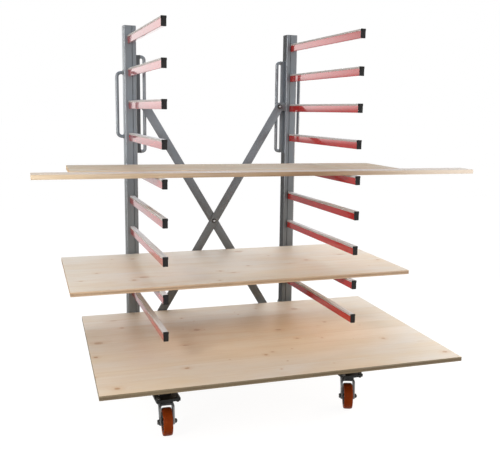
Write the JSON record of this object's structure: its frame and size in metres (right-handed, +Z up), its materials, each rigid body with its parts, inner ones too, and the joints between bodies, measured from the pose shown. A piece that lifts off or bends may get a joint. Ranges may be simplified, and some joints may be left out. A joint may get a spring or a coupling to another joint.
{
  "type": "sheet goods cart",
  "caption": "Mobile cantilever rack for sheet goods: uprights with red arms, X-brace and bow handles on swivel casters, with loose boards lying on the arms.",
  "frame": {"origin": "on the floor under the middle of the outline of the loaded cart", "axes": "+Z up, +X along the cart from the left column to the right column, the arms reach towards -Y"},
  "size_m": [1.8938, 1.134, 1.673],
  "materials": {
    "grey_coat": "semi-gloss blue-grey powder coat",
    "red_coat": "glossy red paint",
    "zinc": "blue zinc plating",
    "black_steel": "black coated steel",
    "dark_steel": "dark oiled steel",
    "polyurethane": "orange-brown cast polyurethane",
    "pine": "sanded raw softwood"
  },
  "bodies": {
    "frame": {"upright_left": "grey_coat", "upright_right": "grey_coat", "base_leg_left": "grey_coat", "base_leg_right": "grey_coat", "arm_left_1": "red_coat", "arm_left_2": "red_coat", "arm_left_3": "red_coat", "arm_left_4": "red_coat", "arm_left_5": "red_coat", "arm_left_6": "red_coat", "arm_left_7": "red_coat", "arm_left_8": "red_coat", "arm_left_9": "red_coat", "arm_right_1": "red_coat", "arm_right_2": "red_coat", "arm_right_3": "red_coat", "arm_right_4": "red_coat", "arm_right_5": "red_coat", "arm_right_6": "red_coat", "arm_right_7": "red_coat", "arm_right_8": "red_coat", "arm_right_9": "red_coat", "brace_lug_upper_left": "grey_coat", "brace_lug_upper_right": "grey_coat", "brace_lug_lower_left": "grey_coat", "brace_lug_lower_right": "grey_coat", "brace_bar_front": "grey_coat", "brace_bar_rear": "grey_coat", "brace_bolt_centre": "zinc", "brace_bolt_upper_right": "zinc", "brace_bolt_lower_left": "zinc", "brace_bolt_upper_left": "zinc", "brace_bolt_lower_right": "zinc", "handle_outer_left": "grey_coat", "handle_inner_left": "grey_coat", "handle_outer_right": "grey_coat", "handle_inner_right": "grey_coat", "caster_front_left_plate": "black_steel", "caster_front_right_plate": "black_steel", "caster_rear_left_plate": "black_steel", "caster_rear_right_plate": "black_steel"},
    "caster_front_left_swivel": {"caster_front_left_fork": "zinc", "caster_front_left_axle": "dark_steel"},
    "caster_front_left_roller": {"caster_front_left_wheel": "polyurethane"},
    "caster_front_right_swivel": {"caster_front_right_fork": "zinc", "caster_front_right_axle": "dark_steel"},
    "caster_front_right_roller": {"caster_front_right_wheel": "polyurethane"},
    "caster_rear_left_swivel": {"caster_rear_left_fork": "zinc", "caster_rear_left_axle": "dark_steel"},
    "caster_rear_left_roller": {"caster_rear_left_wheel": "polyurethane"},
    "caster_rear_right_swivel": {"caster_rear_right_fork": "zinc", "caster_rear_right_axle": "dark_steel"},
    "caster_rear_right_roller": {"caster_rear_right_wheel": "polyurethane"},
    "panel_bottom": {"panel_bottom": "pine"},
    "panel_middle": {"panel_middle": "pine"},
    "plank_front": {"plank_front": "pine"},
    "plank_rear": {"plank_rear": "pine"}
  },
  "joints": [
    {"name": "caster_front_left_swivel", "type": "hinge", "parent": "frame", "child": "caster_front_left_swivel", "pos_m": [-0.4652, -0.24297, 0.135], "axis": [0, 0, 1], "continuous": true},
    {"name": "caster_front_left_roll", "type": "hinge", "parent": "caster_front_left_swivel", "child": "caster_front_left_roller", "pos_m": [-0.46781, -0.27286, 0.056], "axis": [0.9962, -0.0872, 0], "continuous": true},
    {"name": "caster_front_right_swivel", "type": "hinge", "parent": "frame", "child": "caster_front_right_swivel", "pos_m": [0.3494, -0.24297, 0.135], "axis": [0, 0, 1], "continuous": true},
    {"name": "caster_front_right_roll", "type": "hinge", "parent": "caster_front_right_swivel", "child": "caster_front_right_roller", "pos_m": [0.33865, -0.27098, 0.056], "axis": [0.9336, -0.3584, 0], "continuous": true},
    {"name": "caster_rear_left_swivel", "type": "hinge", "parent": "frame", "child": "caster_rear_left_swivel", "pos_m": [-0.4652, 0.51303, 0.135], "axis": [0, 0, 1], "continuous": true},
    {"name": "caster_rear_left_roll", "type": "hinge", "parent": "caster_rear_left_swivel", "child": "caster_rear_left_roller", "pos_m": [-0.45794, 0.48392, 0.056], "axis": [0.9703, 0.2419, 0], "continuous": true},
    {"name": "caster_rear_right_swivel", "type": "hinge", "parent": "frame", "child": "caster_rear_right_swivel", "pos_m": [0.3494, 0.51303, 0.135], "axis": [0, 0, 1], "continuous": true},
    {"name": "caster_rear_right_roll", "type": "hinge", "parent": "caster_rear_right_swivel", "child": "caster_rear_right_roller", "pos_m": [0.34419, 0.48348, 0.056], "axis": [0.9848, -0.1736, 0], "continuous": true},
    {"name": "panel_bottom_pull", "type": "slide", "parent": "frame", "child": "panel_bottom", "axis": [0, -1, 0], "range_m": [0, 0.8]},
    {"name": "panel_middle_pull", "type": "slide", "parent": "frame", "child": "panel_middle", "axis": [0, -1, 0], "range_m": [0, 0.75]},
    {"name": "plank_front_pull", "type": "slide", "parent": "frame", "child": "plank_front", "axis": [0.9997, -0.0227, 0], "range_m": [-0.5, 0.5]},
    {"name": "plank_rear_pull", "type": "slide", "parent": "frame", "child": "plank_rear", "axis": [0.9995, -0.0332, 0], "range_m": [-0.5, 0.5]}
  ]
}
